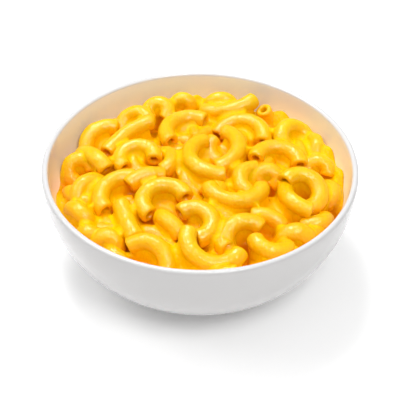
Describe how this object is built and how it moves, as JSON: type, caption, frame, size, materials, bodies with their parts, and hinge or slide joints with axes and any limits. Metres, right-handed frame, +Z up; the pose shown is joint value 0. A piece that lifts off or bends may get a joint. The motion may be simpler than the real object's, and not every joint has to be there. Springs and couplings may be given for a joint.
{
  "type": "mac and cheese",
  "caption": "Deep round white bowl filled to just below its lip with elbow macaroni in a thick yellow cheese sauce, heaped a little in the middle.",
  "frame": {"origin": "on the table, under the middle of the bowl's foot", "axes": "+Z up through the middle of the bowl; -Y towards the side the dish is seen from; +X to the right as seen from there"},
  "size_m": [0.152, 0.152, 0.059],
  "materials": {
    "white_glaze": "white glazed porcelain, smooth and glossy",
    "cheese_macaroni": "cooked pasta coated in yellow cheese sauce, wet and slightly grainy"
  },
  "bodies": {
    "root": {"bowl": "white_glaze", "macaroni_heap": "cheese_macaroni"}
  },
  "joints": []
}
